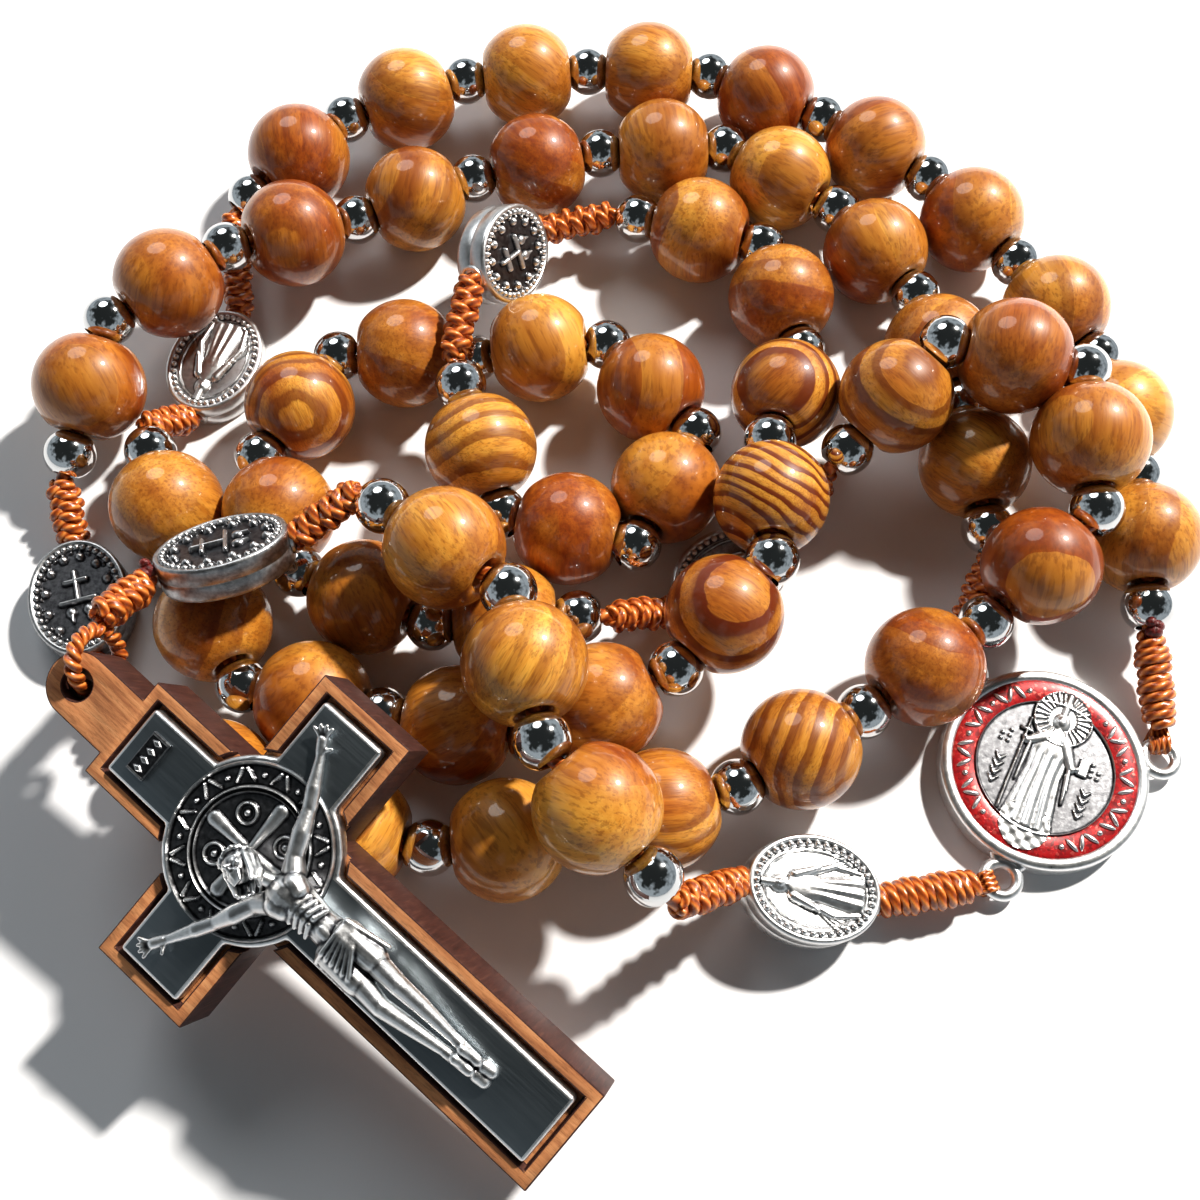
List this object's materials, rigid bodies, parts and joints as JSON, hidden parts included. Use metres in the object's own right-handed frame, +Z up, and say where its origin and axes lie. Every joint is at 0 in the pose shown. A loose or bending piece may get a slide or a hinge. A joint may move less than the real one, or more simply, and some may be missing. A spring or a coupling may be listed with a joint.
{
  "type": "rosary",
  "caption": "Rosary of turned wooden beads and small metal balls on knotted cord, with oval medals, a round enamelled centre medal and a wooden crucifix with a metal inlay.",
  "frame": {"origin": "on the surface the rosary lies on, below the middle of its bounding box", "axes": "+Z up from the surface, +Y away from the viewer, +X to the right; the crucifix lies at the lower left"},
  "size_m": [0.0834, 0.0886, 0.0157],
  "materials": {
    "bead_wood": "glossy lacquer",
    "polished_metal": "polished",
    "antique_metal": "antique silver, polished high spots",
    "dark_metal": "dark gunmetal",
    "red_enamel": "red enamel with fine glitter",
    "crucifix_wood": "satin, darkened edges",
    "nylon_cord": "satin braided nylon"
  },
  "bodies": {
    "strand": {"decade_1_wood_beads": "bead_wood", "decade_2_wood_beads": "bead_wood", "decade_3_wood_beads": "bead_wood", "decade_4_wood_beads": "bead_wood", "decade_5_wood_beads": "bead_wood", "decade_1_spacer_beads": "polished_metal", "decade_2_spacer_beads": "polished_metal", "decade_3_spacer_beads": "polished_metal", "decade_4_spacer_beads": "polished_metal", "decade_5_spacer_beads": "polished_metal", "decade_1_cord": "nylon_cord", "decade_2_cord": "nylon_cord", "decade_3_cord": "nylon_cord", "decade_4_cord": "nylon_cord", "decade_5_cord": "nylon_cord", "decade_1_first_knot": "nylon_cord", "decade_1_last_knot": "nylon_cord", "decade_2_first_knot": "nylon_cord", "decade_2_last_knot": "nylon_cord", "decade_3_first_knot": "nylon_cord", "decade_3_last_knot": "nylon_cord", "decade_4_first_knot": "nylon_cord", "decade_4_last_knot": "nylon_cord", "decade_5_first_knot": "nylon_cord", "decade_5_last_knot": "nylon_cord", "oval_medal_1": "antique_metal", "oval_medal_3": "antique_metal", "oval_medal_4": "antique_metal", "centre_medal": "antique_metal", "centre_medal_enamel": "red_enamel", "pendant_centre_knot": "nylon_cord", "pendant_first_knot": "nylon_cord", "pendant_last_knot": "nylon_cord", "pendant_centre_cord": "nylon_cord", "pendant_bead_cord": "nylon_cord", "pendant_crucifix_cord": "nylon_cord", "crucifix_knot": "nylon_cord"},
    "oval_medal_2": {"oval_medal_2": "antique_metal"},
    "pendant_lower_medal": {"pendant_lower_medal": "antique_metal"},
    "pendant_spacer_1": {"pendant_spacer_1": "polished_metal"},
    "pendant_wood_bead_1": {"pendant_wood_bead_1": "bead_wood"},
    "pendant_spacer_2": {"pendant_spacer_2": "polished_metal"},
    "pendant_wood_bead_2": {"pendant_wood_bead_2": "bead_wood"},
    "pendant_spacer_3": {"pendant_spacer_3": "polished_metal"},
    "pendant_wood_bead_3": {"pendant_wood_bead_3": "bead_wood"},
    "pendant_spacer_4": {"pendant_spacer_4": "polished_metal"},
    "pendant_upper_medal": {"pendant_upper_medal": "antique_metal"},
    "crucifix": {"crucifix_loop": "nylon_cord", "crucifix_wood": "crucifix_wood", "crucifix_metal_plate": "dark_metal", "crucifix_disc": "antique_metal", "crucifix_title_plate": "antique_metal", "crucifix_figure": "antique_metal"}
  },
  "joints": [
    {"name": "pendant_spacer_1_spin", "type": "hinge", "parent": "strand", "child": "pendant_spacer_1", "pos_m": [0.0027, -0.027, 0.0095], "axis": [-0.6376, 0.7327, 0.2379], "continuous": true},
    {"name": "pendant_wood_bead_1_spin", "type": "hinge", "parent": "strand", "child": "pendant_wood_bead_1", "pos_m": [-0.00065, -0.02315, 0.01075], "axis": [-0.6376, 0.7327, 0.2379], "continuous": true},
    {"name": "pendant_spacer_2_spin", "type": "hinge", "parent": "strand", "child": "pendant_spacer_2", "pos_m": [-0.004, -0.0193, 0.012], "axis": [-0.451, 0.8869, 0.1002], "continuous": true},
    {"name": "pendant_wood_bead_2_spin", "type": "hinge", "parent": "strand", "child": "pendant_wood_bead_2", "pos_m": [-0.00515, -0.0143, 0.01175], "axis": [-0.2239, 0.9734, -0.0487], "continuous": true},
    {"name": "pendant_spacer_3_spin", "type": "hinge", "parent": "strand", "child": "pendant_spacer_3", "pos_m": [-0.0063, -0.0093, 0.0115], "axis": [-0.5463, 0.8346, -0.0708], "continuous": true},
    {"name": "pendant_wood_bead_3_spin", "type": "hinge", "parent": "strand", "child": "pendant_wood_bead_3", "pos_m": [-0.01055, -0.00605, 0.01105], "axis": [-0.7916, 0.6053, -0.0838], "continuous": true},
    {"name": "pendant_spacer_4_spin", "type": "hinge", "parent": "strand", "child": "pendant_spacer_4", "pos_m": [-0.0148, -0.0028, 0.0106], "axis": [-0.7916, 0.6053, -0.0838], "continuous": true},
    {"name": "oval_medal_2_roll", "type": "hinge", "parent": "strand", "child": "oval_medal_2", "pos_m": [-0.00775, 0.02075, 0.006], "axis": [-0.4679, -0.7798, 0.4159], "range_deg": [-20, 0]},
    {"name": "pendant_upper_medal_roll", "type": "hinge", "parent": "strand", "child": "pendant_upper_medal", "pos_m": [-0.02525, -0.00575, 0.009], "axis": [-0.9594, -0.2822, 0], "range_deg": [-25, 0]},
    {"name": "pendant_lower_medal_roll", "type": "hinge", "parent": "strand", "child": "pendant_lower_medal", "pos_m": [0.013, -0.0265, 0.0025], "axis": [-0.9705, 0.1078, 0.2157], "range_deg": [-12, 12]},
    {"name": "crucifix_lift", "type": "hinge", "parent": "strand", "child": "crucifix", "pos_m": [-0.03179, -0.01198, 0.01175], "axis": [-0.6402, -0.7036, -0.3083], "range_deg": [0, 60]}
  ]
}
